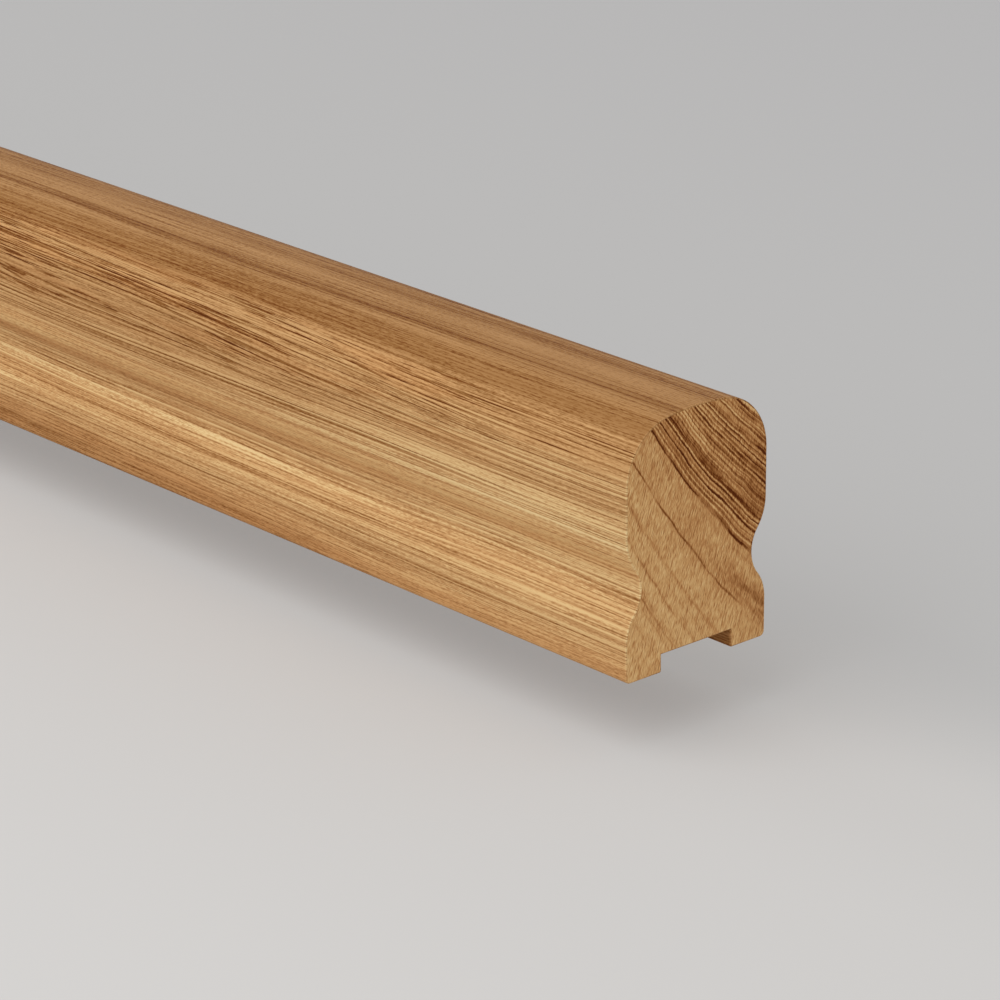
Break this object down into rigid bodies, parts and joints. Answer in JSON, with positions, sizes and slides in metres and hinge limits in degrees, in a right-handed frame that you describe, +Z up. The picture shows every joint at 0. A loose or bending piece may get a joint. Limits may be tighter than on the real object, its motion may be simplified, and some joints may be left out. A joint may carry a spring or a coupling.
{
  "type": "wooden top rail",
  "caption": "Straight moulded wooden stair rail with a crowned top, coved sides to grip, square ends and a shallow groove underneath for the baluster tops.",
  "frame": {"origin": "middle of the rail's length, on its centre line, level with the two flat feet", "axes": "+X along the rail, +Y across it, +Z up from the feet to the crown"},
  "size_m": [1.2, 0.05, 0.0704],
  "materials": {
    "oiled_oak": "satin clear oil"
  },
  "bodies": {
    "root": {"top_rail": "oiled_oak"}
  },
  "joints": []
}
